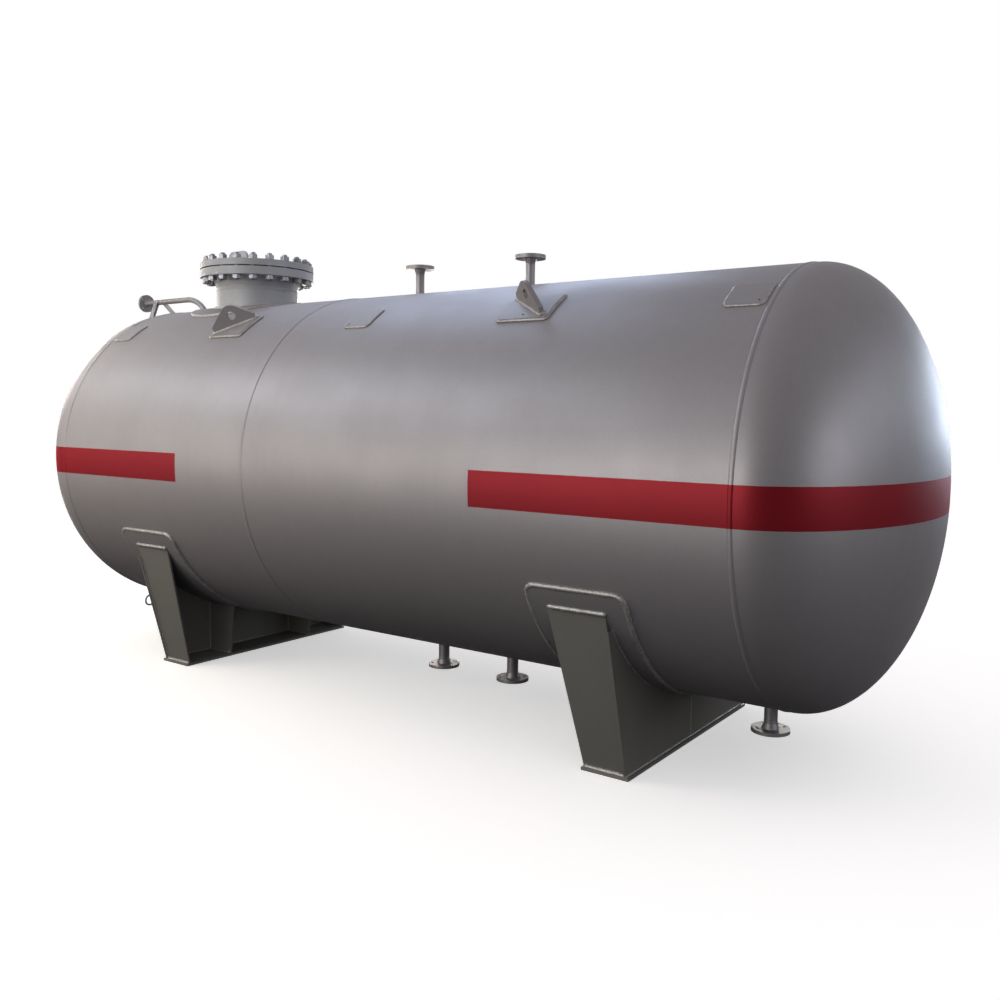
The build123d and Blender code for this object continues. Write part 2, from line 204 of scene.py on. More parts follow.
@dataclass(frozen=True)
class AluminiumPaint:
    """Sprayed aluminium-flake paint, satin, over welded plate.

    Flakes give it a broad soft sheen that is brightest where it faces a light, spray leaves a faint orange peel,
    and weather leaves cloudy patches and thin runs of dirt down the sides.
    """

    name: str
    colour: str
    shade: str
    metallic: float = 0.02
    specular: float = 0.004
    roughness: float = 0.5
    roughness_spread: float = 0.04
    cloud_size: float = 420.0
    cloud_weight: float = 0.45
    flake_size: float = 5.0
    flake_weight: float = 0.45
    run_width: float = 45.0
    run_length: float = 900.0
    run_weight: float = 0.12
    shade_below: float = 0.3
    colour_above: float = 0.72
    peel_size: float = 7.0
    peel_depth: float = 0.12
    peel_strength: float = 0.35
    stripe: Stripe | None = None

    def build(self) -> bpy.types.Material:
        """Builds the paint.

        Returns:
            The material.
        """
        material, tree = empty_material(self.name)
        place = add_node(tree, "ShaderNodeTexCoord").outputs["Object"]
        clouds = add_node(
            tree, "ShaderNodeTexNoise",
            {"Vector": place, "Scale": per_metre(self.cloud_size), "Detail": 4.0, "Roughness": 0.6},
        )
        flakes = add_node(
            tree, "ShaderNodeTexNoise",
            {"Vector": place, "Scale": per_metre(self.flake_size), "Detail": 2.0, "Roughness": 0.7},
        )
        stretched = add_node(
            tree, "ShaderNodeMapping",
            {
                "Vector": place,
                "Scale": (per_metre(self.run_width), per_metre(self.run_width), per_metre(self.run_length)),
            },
        )
        runs = add_node(
            tree, "ShaderNodeTexNoise", {"Vector": stretched.outputs[0], "Scale": 1.0, "Detail": 3.0}
        )
        glints = add_node(
            tree, "ShaderNodeMath", {0: flakes.outputs["Fac"], 1: self.flake_weight}, operation="MULTIPLY"
        )
        mottle = add_node(
            tree, "ShaderNodeMath",
            {0: clouds.outputs["Fac"], 1: self.cloud_weight, 2: glints.outputs[0]}, operation="MULTIPLY_ADD",
        )
        worn = add_node(
            tree, "ShaderNodeMath",
            {0: runs.outputs["Fac"], 1: self.run_weight, 2: mottle.outputs[0]}, operation="MULTIPLY_ADD",
        )
        amount = add_node(
            tree, "ShaderNodeMapRange",
            {"Value": worn.outputs[0], "From Min": self.shade_below, "From Max": self.colour_above},
        )
        colour = add_node(
            tree, "ShaderNodeMix",
            {"Factor": amount.outputs[0], 6: linear(self.shade), 7: linear(self.colour)}, data_type="RGBA",
        ).outputs[2]
        satin = add_node(
            tree, "ShaderNodeMapRange",
            {
                "Value": clouds.outputs["Fac"], "From Min": 0.3, "From Max": 0.7,
                "To Min": self.roughness + self.roughness_spread, "To Max": self.roughness - self.roughness_spread,
            },
        ).outputs[0]
        peel = add_node(
            tree, "ShaderNodeTexNoise", {"Vector": place, "Scale": per_metre(self.peel_size), "Detail": 2.0}
        )
        bump = add_node(
            tree, "ShaderNodeBump",
            {"Height": peel.outputs["Fac"], "Strength": self.peel_strength, "Distance": self.peel_depth * MM},
        )
        shader = add_node(
            tree, "ShaderNodeBsdfPrincipled",
            {
                "Roughness": satin, "Specular IOR Level": self.specular, "Metallic": self.metallic,
                "Normal": bump.outputs[0],
            },
        )
        if self.stripe:
            painted = self.stripe.mask(tree, place)
            colour = add_node(
                tree, "ShaderNodeMix",
                {"Factor": painted, 6: colour, 7: linear(self.stripe.colour)}, data_type="RGBA",
            ).outputs[2]
        tree.links.new(colour, shader.inputs["Base Color"])
        add_node(tree, "ShaderNodeOutputMaterial", {"Surface": shader.outputs[0]})
        return material


@dataclass(frozen=True)
class WeldPaint:
    """Aluminium paint on weld beads.

    The ripples catch the lamps in short bright strokes, with painted highlight on their crests and painted shade in
    their hollows.
    """

    name: str = "painted_weld_bead"
    # Colour on the ripples' crests, lighter than the plate paint: painted highlight.
    colour: str = "#a5a3a1"
    # Colour in the ripples' hollows: painted shade.
    hollow_shade: str = "#868482"
    metallic: float = 0.02
    specular: float = 0.004
    roughness: float = 0.46
    ripple: float = 9.0
    depth: float = 1.0
    strength: float = 0.5

    def build(self) -> bpy.types.Material:
        """Builds the paint.

        Returns:
            The material.
        """
        material, tree = empty_material(self.name)
        place = add_node(tree, "ShaderNodeTexCoord").outputs["Object"]
        ripples = add_node(
            tree, "ShaderNodeTexNoise", {"Vector": place, "Scale": per_metre(self.ripple), "Detail": 2.0}
        )
        # Ripple height sets the colour: painted shade in the hollows, painted highlight on the crests.
        ripple_shading = add_node(
            tree, "ShaderNodeMapRange", {"Value": ripples.outputs["Fac"], "From Min": 0.3, "From Max": 0.6}
        )
        colour = add_node(
            tree, "ShaderNodeMix",
            {"Factor": ripple_shading.outputs[0], 6: linear(self.hollow_shade), 7: linear(self.colour)}, data_type="RGBA",
        )
        bump = add_node(
            tree, "ShaderNodeBump",
            {"Height": ripples.outputs["Fac"], "Strength": self.strength, "Distance": self.depth * MM},
        )
        shader = add_node(
            tree, "ShaderNodeBsdfPrincipled",
            {
                "Base Color": colour.outputs[2], "Metallic": self.metallic, "Roughness": self.roughness,
                "Specular IOR Level": self.specular, "Normal": bump.outputs[0],
            },
        )
        add_node(tree, "ShaderNodeOutputMaterial", {"Surface": shader.outputs[0]})
        return material


@dataclass(frozen=True)
class GasketRubber:
    """Compressed black sheet gasket: dull, dark and slightly fibrous."""

    name: str = "black_sheet_gasket"
    colour: str = "#1c1c1f"
    fibre: str = "#2b2b2e"
    fibre_size: float = 6.0
    roughness: float = 0.85

    def build(self) -> bpy.types.Material:
        """Builds the gasket's material.

        Returns:
            The material.
        """
        material, tree = empty_material(self.name)
        place = add_node(tree, "ShaderNodeTexCoord").outputs["Object"]
        fibres = add_node(
            tree, "ShaderNodeTexNoise", {"Vector": place, "Scale": per_metre(self.fibre_size), "Detail": 3.0}
        )
        colour = add_node(
            tree, "ShaderNodeMix",
            {"Factor": fibres.outputs["Fac"], 6: linear(self.colour), 7: linear(self.fibre)}, data_type="RGBA",
        )
        shader = add_node(
            tree, "ShaderNodeBsdfPrincipled", {"Base Color": colour.outputs[2], "Roughness": self.roughness}
        )
        add_node(tree, "ShaderNodeOutputMaterial", {"Surface": shader.outputs[0]})
        return material


@dataclass(frozen=True)
class Finishes:
    """Materials that the sub-assemblies share."""

    shell: bpy.types.Material
    vessel: bpy.types.Material
    saddle: bpy.types.Material
    manway: bpy.types.Material
    fastener: bpy.types.Material
    weld: bpy.types.Material
    gasket: bpy.types.Material

    @classmethod
    def build(cls) -> Finishes:
        """Builds every material of the tank.

        Returns:
            The materials.
        """
        plain = AluminiumPaint("aluminium_paint", "#918f91", "#858285")
        return cls(
            shell=replace(plain, name="striped_aluminium_paint", stripe=Stripe()).build(),
            vessel=plain.build(),
            # The saddles' paint is a little greener than the vessel's, and darker as painted shade from the tank
            # above them.
            saddle=AluminiumPaint("shade_darkened_aluminium_paint", "#80807b", "#73736e").build(),
            manway=AluminiumPaint("pale_aluminium_paint", "#b2b5ba", "#a3a6ab", metallic=0.006).build(),
            fastener=AluminiumPaint("painted_bolting", "#888a8f", "#6c6e74", metallic=0.05, roughness=0.42).build(),
            weld=WeldPaint().build(),
            gasket=GasketRubber().build(),
        )


@dataclass(frozen=True)
class Bead:
    """Cross size of a weld bead in millimetres."""

    half_width: float
    height: float


@dataclass(frozen=True)
class Vessel:
    """Shell that the other pieces sit on, in millimetres."""

    radius: float = 912.0
    axis_height: float = 1169.0
    half_length: float = 2025.0
    joint: float = -475.0
    straight_flange: float = 25.0
    head_depth: float = 462.0
    longest_fall: int = 2000

    def at_angle(self, x: float, angle: float, lift: float = 0.0) -> Vector:
        """Finds a point over the shell.

        Args:
            x: Place along the tank.
            angle: Degrees from the top towards the front.
            lift: Height over the shell.

        Returns:
            The point in metres.
        """
        turn = math.radians(angle)
        reach = self.radius + lift
        return Vector((x, -reach * math.sin(turn), self.axis_height + reach * math.cos(turn))) * MM

    def at_plan(self, x: float, y: float, lift: float = 0.0, level: Level = Level.TOP) -> Vector:
        """Finds the point over the shell's top or bottom at a place in plan.

        Args:
            x: Place along the tank.
            y: Place across the tank.
            lift: Height over the shell.
            level: Top or bottom of the shell.

        Returns:
            The point in metres.
        """
        rise = math.sqrt((self.radius + lift) ** 2 - y**2)
        return Vector((x, y, self.axis_height + level.value * rise)) * MM

    def head_radius(self, x: float) -> float:
        """Outside radius of a dished end at a place along the tank."""
        share = (abs(x) - self.half_length - self.straight_flange) / self.head_depth
        return self.radius * math.sqrt(1.0 - max(share, 0.0) ** 2)

    def at_head(self, x: float, y: float) -> Vector:
        """Finds the point on top of a dished end at a place in plan.

        Args:
            x: Place along the tank.
            y: Place across the tank.

        Returns:
            The point in metres.
        """
        rise = math.sqrt(self.head_radius(x) ** 2 - y**2)
        return Vector((x, y, self.axis_height + rise)) * MM

    def head_meets(self, x: float, line: Callable[[float], tuple[float, float]]) -> float:
        """Finds how far down a line across the tank meets a dished end.

        Args:
            x: Place along the tank.
            line: Y, and height over the vessel's axis, for a distance down.

        Returns:
            The distance down, to the millimetre.
        """
        radius = self.head_radius(x)
        return float(next(fall for fall in range(1, self.longest_fall) if math.hypot(*line(fall)) < radius))

    def outwards(self, point: Vector) -> Vector:
        """Direction away from the shell's axis at a point in metres."""
        return Vector((0.0, point.y, point.z - self.axis_height * MM)).normalized()

    def trail(self, points: Iterable[Vector]) -> list[tuple[Vector, Vector]]:
        """Pairs points with the shell's outward direction at each.

        Args:
            points: Points in metres.

        Returns:
            The pairs, in order.
        """
        return [(point, self.outwards(point)) for point in points]


class WeldBeads:
    """Weld beads of one sub-assembly, gathered in one mesh."""

    SECTION_SIDES = 8
    STEP = 7.0
    SWELL = 0.22
    SWELL_SIZE = 22.0
    RIPPLE = 0.10
    END_TAPER = 0.55
    MERGE_DISTANCE = 0.02

    def __init__(self, name: str) -> None:
        """Starts an empty mesh.

        Args:
            name: Name of the finished piece.
        """
        self.name = name
        self.mesh = bpy.data.meshes.new(name)

    def lay(self, trail: Sequence[tuple[Vector, Vector]], bead: Bead, closed: bool = False) -> None:
        """Sweeps a rippled bead along a trail.

        Args:
            trail: Points along the weld, each with the direction away from the plate.
            bead: Size of the bead.
            closed: Whether the last point leads back to the first.
        """
        stations = self._stations(self._even(trail, closed), bead, closed)
        bm = bmesh.new()
        verts = bmesh.ops.create_circle(bm, segments=self.SECTION_SIDES, radius=1.0, matrix=stations[0])["verts"]
        first = list({edge for vert in verts for edge in vert.link_edges})
        edges = first
        for before, station in zip(stations, stations[1:]):
            grown = bmesh.ops.extrude_edge_only(bm, edges=edges)["geom"]
            verts = [item for item in grown if isinstance(item, bmesh.types.BMVert)]
            fresh = set(verts)
            edges = [
                item for item in grown
                if isinstance(item, bmesh.types.BMEdge) and fresh.issuperset(item.verts)
            ]
            bmesh.ops.transform(bm, matrix=station @ before.inverted(), verts=verts)
        if closed:
            bmesh.ops.bridge_loops(bm, edges=first + edges)
        else:
            bmesh.ops.holes_fill(bm, edges=first + edges, sides=self.SECTION_SIDES)
        self._keep(bm)

    def ring(self, centre: Vector, axis: Vector, radius: float, bead: Bead, steps: int = 240) -> None:
        """Spins a bead round an axis.

        Args:
            centre: Point on the axis in metres.
            axis: Direction of the axis.
            radius: Radius of the plate under the bead, in millimetres.
            bead: Size of the bead.
            steps: Steps round the turn.
        """
        away = axis.orthogonal().normalized()
        start = Matrix.Identity(4)
        start.col[0] = (axis.normalized() * bead.half_width * MM).to_4d()
        start.col[1] = (away * bead.height * MM).to_4d()
        start.col[2] = axis.cross(away).to_4d()
        for column in range(3):
            start[3][column] = 0.0
        start.col[3] = (centre + away * radius * MM).to_4d()
        bm = bmesh.new()
        verts = bmesh.ops.create_circle(bm, segments=self.SECTION_SIDES, radius=1.0, matrix=start)["verts"]
        edges = list({edge for vert in verts for edge in vert.link_edges})
        bmesh.ops.spin(
            bm, geom=verts + edges, cent=centre, axis=axis, angle=math.tau, steps=steps, use_merge=True
        )
        bmesh.ops.remove_doubles(bm, verts=bm.verts, dist=self.MERGE_DISTANCE * MM)
        self._keep(bm)

    def publish(self, finish: bpy.types.Material, slot: Slot) -> bpy.types.Object:
        """Makes the gathered beads one piece.

        Args:
            finish: Material of the beads.

        Returns:
            The piece.
        """
        return publish(self.mesh, self.name, finish)

    def _even(self, trail: Sequence[tuple[Vector, Vector]], closed: bool) -> list[tuple[Vector, Vector]]:
        """Spaces a trail's points evenly, a ripple apart.

        Args:
            trail: Points with their outward directions.
            closed: Whether the trail is a loop.

        Returns:
            The evened trail.
        """
        stops = list(trail) + ([trail[0]] if closed else [])
        even = []
        for (point, away), (following, next_away) in zip(stops, stops[1:]):
            count = max(1, round((following - point).length / (self.STEP * MM)))
            even += [
                (point.lerp(following, step / count), away.lerp(next_away, step / count).normalized())
                for step in range(count)
            ]
        return even if closed else even + [stops[-1]]

    def _stations(
        self, trail: Sequence[tuple[Vector, Vector]], bead: Bead, closed: bool
    ) -> list[Matrix]:
        """Places the bead's section at each point of a trail.

        Args:
            trail: Evened points with their outward directions.
            bead: Size of the bead.
            closed: Whether the trail is a loop.

        Returns:
            A matrix for each point, with the section's size in it.
        """
        stations = []
        last = len(trail) - 1
        for index, (point, away) in enumerate(trail):
            ahead = trail[(index + 1) % len(trail)][0] if closed else trail[min(index + 1, last)][0]
            behind = trail[index - 1][0] if closed else trail[max(index - 1, 0)][0]
            along = (ahead - behind).normalized()
            across = along.cross(away).normalized()
            swell = 1.0 + self.SWELL * noise.noise(point * per_metre(self.SWELL_SIZE)) + self.RIPPLE * (-1) ** index
            taper = 1.0 if closed or 0 < index < last else self.END_TAPER
            station = Matrix.Identity(4)
            station.col[0] = (*(across * bead.half_width * MM * swell * taper), 0.0)
            station.col[1] = (*(away * bead.height * MM * swell * taper), 0.0)
            station.col[2] = (*along, 0.0)
            station.col[3] = (*point, 1.0)
            stations.append(station)
        return stations

    def _keep(self, bm: bmesh.types.BMesh) -> None:
        """Adds a finished bead to the gathered mesh.

        Args:
            bm: The bead, which is freed.
        """
        bmesh.ops.recalc_face_normals(bm, faces=bm.faces)
        for face in bm.faces:
            face.smooth = True
        bm.from_mesh(self.mesh)
        bm.to_mesh(self.mesh)
        bm.free()


def publish(
    mesh: bpy.types.Mesh, name: str, finish: bpy.types.Material
) -> bpy.types.Object:
    """Makes a mesh a piece of the tank.

    Args:
        mesh: Mesh in the tank's frame.
        name: Name of the piece.
        finish: Its material.

    Returns:
        The piece.
    """
    mesh.materials.append(finish)
    piece = bpy.data.objects.new(name, mesh)
    bpy.context.scene.collection.objects.link(piece)
    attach(piece, ROOT)
    LOG.info("piece %s: %d faces", name, len(mesh.polygons))
    return piece


def dress(frame: dict[str, Any], nodes: Iterable[str], finish: bpy.types.Material) -> None:
    """Gives CAD nodes their finish.

    Args:
        frame: The loaded frame.
        nodes: Names of the nodes.
        finish: Their material.
    """
    for name in nodes:
        mesh = frame["nodes"][name].data
        mesh.materials.clear()
        mesh.materials.append(finish)
        LOG.info("node %s: %s", name, finish.name)


def full_turn(steps: int) -> list[float]:
    """Angles of one turn in equal steps, in radians."""
    return [math.tau * step / steps for step in range(steps)]


def rounded_loop(half_x: float, half_y: float, corner: float) -> list[tuple[float, float]]:
    """Goes round a rectangle with rounded corners.

    Args:
        half_x: Half of its size along X.
        half_y: Half of its size along Y.
        corner: Radius of its corners.

    Returns:
        Points round the loop.
    """
    points = []
    for quarter, (sign_x, sign_y) in enumerate(((1, 1), (-1, 1), (-1, -1), (1, -1))):
        for step in range(CORNER_STEPS + 1):
            turn = math.radians(90 * quarter + 90 * step / CORNER_STEPS)
            points.append((
                sign_x * (half_x - corner) + corner * math.cos(turn),
                sign_y * (half_y - corner) + corner * math.sin(turn),
            ))
    return points


def pad_loop(
    vessel: Vessel, x: float, angle: float, half_x: float, half_arc: float, corner: float, lift: float
) -> list[Vector]:
    """Goes round the edge of a pad that is rolled to the shell.

    Args:
        vessel: The shell.
        x: Middle of the pad along the tank.
        angle: Middle of the pad in degrees from the top towards the front.
        half_x: Half of its length along the tank.
        half_arc: Half of its length round the shell.
        corner: Radius of its corners.
        lift: Height over the shell.

    Returns:
        Points round the pad, in metres.
    """
    flat = rounded_loop(half_x, half_arc, corner)
    fine = []
    for (dx, arc), (next_dx, next_arc) in zip(flat, flat[1:] + flat[:1]):
        count = max(1, round(abs(next_arc - arc) / ROLLED_STEP))
        fine += [
            (dx + (next_dx - dx) * step / count, arc + (next_arc - arc) * step / count) for step in range(count)
        ]
    return [vessel.at_angle(x + dx, angle + math.degrees(arc / vessel.radius), lift) for dx, arc in fine]


@dataclass
class Shell:
    """Both shell courses and both dished ends."""

    vessel: Vessel = field(default_factory=Vessel)
    seam: Bead = Bead(10.0, 3.0)
    seam_sink: float = 0.4
    seam_steps: int = 360

    def build(self, frame: dict[str, Any], finishes: Finishes) -> None:
        """Paints the shell and welds its seams.

        Args:
            frame: The loaded frame.
            finishes: The tank's materials.
        """
        dress(frame, ("shell_course_left", "shell_course_right", "head_left", "head_right"), finishes.shell)
        beads = WeldBeads("shell_seam_welds")
        for x in (-self.vessel.half_length, self.vessel.joint, self.vessel.half_length):
            centre = Vector((x, 0.0, self.vessel.axis_height)) * MM
            beads.ring(
                centre, Vector((1.0, 0.0, 0.0)), self.vessel.radius - self.seam_sink, self.seam, self.seam_steps
            )
        beads.publish(finishes.shell, Slot.VESSEL)


@dataclass
class Saddle:
    """One welded saddle with its wear pad."""

    end: End
    vessel: Vessel = field(default_factory=Vessel)
    web_outer: float = 1505.0
    web_thickness: float = 10.0
    base_top: float = 14.0
    foot_y: float = 608.0
    top_y: float = 796.3
    top_z: float = 703.7
    web_lip: float = 10.0
    web_snipe: float = 70.0
    plate_top: tuple[float, float] = (1235.0, 1502.0)
    plate_foot: tuple[float, float] = (1308.0, 1503.0)
    rib_foot_x: float = 1308.0
    rib_thickness: float = 10.0
    rib_gap: float = 2.0
    inner_rib_y: float = 310.0
    pad_middle: float = 1370.0
    pad_half_width: float = 220.0
    pad_wrap: float = 130.0
    pad_corner: float = 45.0
    pad_thickness: float = 10.3
    pad_middle_lift: float = 5.0
    pad_bead_out: float = 1.5
    pad_bead_lift: float = 3.0
    plate_bead_out: float = 1.0
    top_bead_lift: float = 1.5
    foot_bead_lift: float = 1.0
    seam_sink: float = 0.3
    seat_steps: int = 24
    pad_bead: Bead = Bead(12.0, 10.0)
    top_bead: Bead = Bead(11.0, 9.5)
    foot_bead: Bead = Bead(9.5, 9.0)
    fine_bead: Bead = Bead(4.5, 4.5)
    seam_bead: Bead = Bead(5.0, 1.2)

    def build(self, frame: dict[str, Any], finishes: Finishes) -> None:
        """Paints the saddle and welds it.

        Args:
            frame: The loaded frame.
            finishes: The tank's materials.
        """
        name = f"saddle_{self.end.name.lower()}"
        pieces = ("base_plate", "web", "end_plates", "inner_ribs")
        dress(frame, [f"{name}_{piece}" for piece in pieces], finishes.saddle)
        dress(frame, (f"{name}_wear_pad",), finishes.vessel)
        beads = WeldBeads(f"{name}_welds")
        self._weld_pad(beads)
        for side in Side:
            self._weld_end_plate(beads, side)
            self._weld_inner_rib(beads, side)
        self._weld_web(beads)
        beads.publish(finishes.weld, Slot.VESSEL)

    def _point(self, x: float, y: float, z: float) -> Vector:
        """Point in metres, with X measured towards this saddle's end."""
        return Vector((self.end.value * x, y, z)) * MM

    def _slant_y(self, z: float) -> float:
        """Y of the end plate's outer face at a height."""
        return self.foot_y + (z - self.base_top) * (self.top_y - self.foot_y) / (self.top_z - self.base_top)

    def _seat_z(self, y: float) -> float:
        """Height of the wear pad's underside at a place across the tank."""
        return self.vessel.axis_height - math.sqrt((self.vessel.radius + self.pad_thickness) ** 2 - y**2)

    def _seat_reach(self) -> float:
        """Y at which the wear pad's underside meets the web's cut corner."""
        drop = self.vessel.axis_height - self.top_z + self.web_snipe
        return math.sqrt((self.vessel.radius + self.pad_thickness) ** 2 - drop**2)

    def _weld_pad(self, beads: WeldBeads) -> None:
        """Welds the wear pad to the shell all round.

        Args:
            beads: The saddle's beads.
        """
        half_arc = math.radians(self.pad_wrap / 2) * (self.vessel.radius + self.pad_middle_lift)
        loop = pad_loop(
            self.vessel, self.end.value * self.pad_middle, 180.0, self.pad_half_width + self.pad_bead_out,
            half_arc + self.pad_bead_out, self.pad_corner, self.pad_bead_lift,
        )
        beads.lay(self.vessel.trail(loop), self.pad_bead, closed=True)

    def _weld_end_plate(self, beads: WeldBeads, side: Side) -> None:
        """Welds an end plate at its top, its foot and the web.

        Args:
            beads: The saddle's beads.
            side: Front or rear.
        """
        away = Vector((0.0, side.value * 0.8, 0.6))
        top_y, foot_y = (side.value * (y + self.plate_bead_out) for y in (self.top_y, self.foot_y))
        top = [self._point(x, top_y, self.top_z + self.top_bead_lift) for x in self.plate_top]
        beads.lay([(point, away) for point in top], self.top_bead)
        foot = [self._point(x, foot_y, self.base_top + self.foot_bead_lift) for x in self.plate_foot]
        beads.lay([(point, away) for point in foot], self.foot_bead)
        snipe = self.top_z - self.web_snipe
        corner_x = self.web_outer - self.web_thickness
        outside = Vector((-self.end.value * 0.7, side.value * 0.7, 0.0))
        run = [self._point(corner_x, side.value * self._slant_y(z), z) for z in (self.base_top, snipe)]
        beads.lay([(point, outside) for point in run], self.fine_bead)

    def _weld_inner_rib(self, beads: WeldBeads, side: Side) -> None:
        """Welds both faces of an inner rib to the web and the base plate.

        Args:
            beads: The saddle's beads.
            side: Front or rear.
        """
        corner_x = self.web_outer - self.web_thickness
        for face in (-1, 1):
            y = side.value * (self.inner_rib_y + face * self.rib_thickness / 2)
            away = Vector((-self.end.value * 0.7, side.value * face * 0.7, 0.0))
            run = [self._point(corner_x, y, z) for z in (self.base_top, self._seat_z(y) - self.rib_gap)]
            beads.lay([(point, away) for point in run], self.fine_bead)
            foot = [self._point(x, y, self.base_top) for x in (self.rib_foot_x, corner_x)]
            up = Vector((0.0, side.value * face * 0.7, 0.7))
            beads.lay([(point, up) for point in foot], self.fine_bead)

    def _weld_web(self, beads: WeldBeads) -> None:
        """Welds the web to the base plate and the wear pad, and its two halves to each other.

        Args:
            beads: The saddle's beads.
        """
        faces = ((self.web_outer, 1), (self.web_outer - self.web_thickness, -1))
        for x, outwards in faces:
            away = Vector((self.end.value * outwards * 0.7, 0.0, 0.7))
            reach = self.foot_y + outwards * self.web_lip
            foot = [self._point(x, y, self.base_top) for y in (-reach, reach)]
            beads.lay([(point, away) for point in foot], self.fine_bead)
            under = Vector((self.end.value * outwards * 0.7, 0.0, -0.7))
            steps = range(-self.seat_steps, self.seat_steps + 1)
            across = [self._seat_reach() * step / self.seat_steps for step in steps]
            seat = [self._point(x, y, self._seat_z(y)) for y in across]
            beads.lay([(point, under) for point in seat], self.fine_bead)
        flat = Vector((self.end.value, 0.0, 0.0))
        seam = [self._point(self.web_outer - self.seam_sink, 0.0, z) for z in (self.base_top, self._seat_z(0.0))]
        beads.lay([(point, flat) for point in seam], self.seam_bead)


@dataclass
class Manway:
    """Bolted manway with its reinforcing ring."""

    vessel: Vessel = field(default_factory=Vessel)
    x: float = -1410.0
    neck_radius: float = 240.0
    weld_end: float = 2176.0
    ring_radius: float = 380.0
    ring_lift: float = 12.3
    bolt_circle: float = 600.0
    bolts: int = 20
    flange_back: float = 2246.0
    cover_top: float = 2335.0
    stud_radius: float = 15.0
    nut_across_flats: float = 46.0
    nut_height: float = 27.0
    nut_chamfer: float = 3.0
    nut_turn: float = 37.0
    stud_top: float = 11.0
    stud_bottom: float = 3.0
    stud_sides: int = 16
    stud_rounding: float = 6.3
    ring_bead_out: float = 1.5
    ring_bead_lift: float = 3.0
    neck_bead_out: float = 1.0
    butt_sink: float = 0.4
    steps: int = 120
    neck_bead: Bead = Bead(9.0, 8.0)
    ring_bead: Bead = Bead(8.5, 8.0)
    butt_bead: Bead = Bead(8.0, 1.8)

    def build(self, frame: dict[str, Any], finishes: Finishes) -> None:
        """Paints the manway, welds it and bolts it down.

        Args:
            frame: The loaded frame.
            finishes: The tank's materials.
        """
        dress(frame, ("manway_neck", "manway_flange", "manway_cover", "manway_cover_lug"), finishes.manway)
        dress(frame, ("manway_reinforcing_ring",), finishes.vessel)
        dress(frame, ("manway_gasket",), finishes.gasket)
        self._weld(finishes)
        self._bolt(finishes)

    def _round(self, radius: float, lift: float) -> list[Vector]:
        """Goes round the manway on a surface over the shell.

        Args:
            radius: Radius in plan.
            lift: Height of the surface over the shell.

        Returns:
            Points round the loop, in metres.
        """
        return [
            self.vessel.at_plan(self.x + radius * math.cos(turn), radius * math.sin(turn), lift)
            for turn in full_turn(self.steps)
        ]

    def _weld(self, finishes: Finishes) -> None:
        """Welds the ring and the neck to the shell and the flange to the neck.

        Args:
            finishes: The tank's materials.
        """
        beads = WeldBeads("manway_ring_welds")
        ring = self._round(self.ring_radius + self.ring_bead_out, self.ring_bead_lift)
        beads.lay(self.vessel.trail(ring), self.ring_bead, closed=True)
        beads.publish(finishes.weld, Slot.VESSEL)
        beads = WeldBeads("manway_neck_welds")
        foot = self._round(self.neck_radius + self.neck_bead_out, self.ring_lift)
        beads.lay(self.vessel.trail(foot), self.neck_bead, closed=True)
        centre = Vector((self.x, 0.0, self.weld_end)) * MM
        beads.ring(centre, Vector((0.0, 0.0, 1.0)), self.neck_radius - self.butt_sink, self.butt_bead, self.steps)
        beads.publish(finishes.manway, Slot.MANWAY)

    def _bolt(self, finishes: Finishes) -> None:
        """Sets the studs with a nut at each end.

        Args:
            finishes: The tank's materials.
        """
        bm = bmesh.new()
        bottom = self.flange_back - self.nut_height - self.stud_bottom
        top = self.cover_top + self.nut_height + self.stud_top
        reach = self.bolt_circle / 2
        for index in range(self.bolts):
            turn = math.tau * (index + 0.5) / self.bolts
            place = Matrix.Translation(
                Vector((self.x + reach * math.cos(turn), reach * math.sin(turn), 0.0)) * MM
            ) @ Matrix.Rotation(turn + math.radians(self.nut_turn * index), 4, "Z")
            self._stud(bm, place, bottom, top)
            self._nut(bm, place, self.cover_top)
            self._nut(bm, place, self.flange_back - self.nut_height)
        mesh = bpy.data.meshes.new("manway_bolting")
        bmesh.ops.recalc_face_normals(bm, faces=bm.faces)
        bm.to_mesh(mesh)
        bm.free()
        publish(mesh, "manway_bolting", finishes.fastener)

    def _stud(self, bm: bmesh.types.BMesh, place: Matrix, bottom: float, top: float) -> None:
        """Makes a stud with rounded ends.

        Args:
            bm: Mesh of the bolting.
            place: Place of the stud in plan.
            bottom: Height of its lower end.
            top: Height of its upper end.
        """
        lift = Matrix.Translation((0.0, 0.0, (bottom + top) / 2 * MM))
        radius = self.stud_radius * MM
        verts = bmesh.ops.create_cone(
            bm, cap_ends=True, segments=self.stud_sides, radius1=radius, radius2=radius, depth=(top - bottom) * MM,
            matrix=place @ lift,
        )["verts"]
        rims = [
            edge for edge in {edge for vert in verts for edge in vert.link_edges}
            if abs(edge.verts[0].co.z - edge.verts[1].co.z) < radius
        ]
        bmesh.ops.bevel(
            bm, geom=rims, offset=self.stud_rounding * MM, segments=3, profile=0.5, affect="EDGES", material=-1
        )

    def _nut(self, bm: bmesh.types.BMesh, place: Matrix, low: float) -> None:
        """Makes a hexagon nut with chamfered ends.

        Args:
            bm: Mesh of the bolting.
            place: Place of the nut in plan.
            low: Height of its lower face.
        """
        corner = self.nut_across_flats / math.sqrt(3) * MM
        lift = Matrix.Translation((0.0, 0.0, (low + self.nut_height / 2) * MM))
        verts = bmesh.ops.create_cone(
            bm, cap_ends=True, segments=6, radius1=corner, radius2=corner, depth=self.nut_height * MM,
            matrix=place @ lift,
        )["verts"]
        edges = list({edge for vert in verts for edge in vert.link_edges})
        bmesh.ops.bevel(
            bm, geom=edges, offset=self.nut_chamfer * MM, segments=2, profile=0.5, affect="EDGES", material=-1
        )


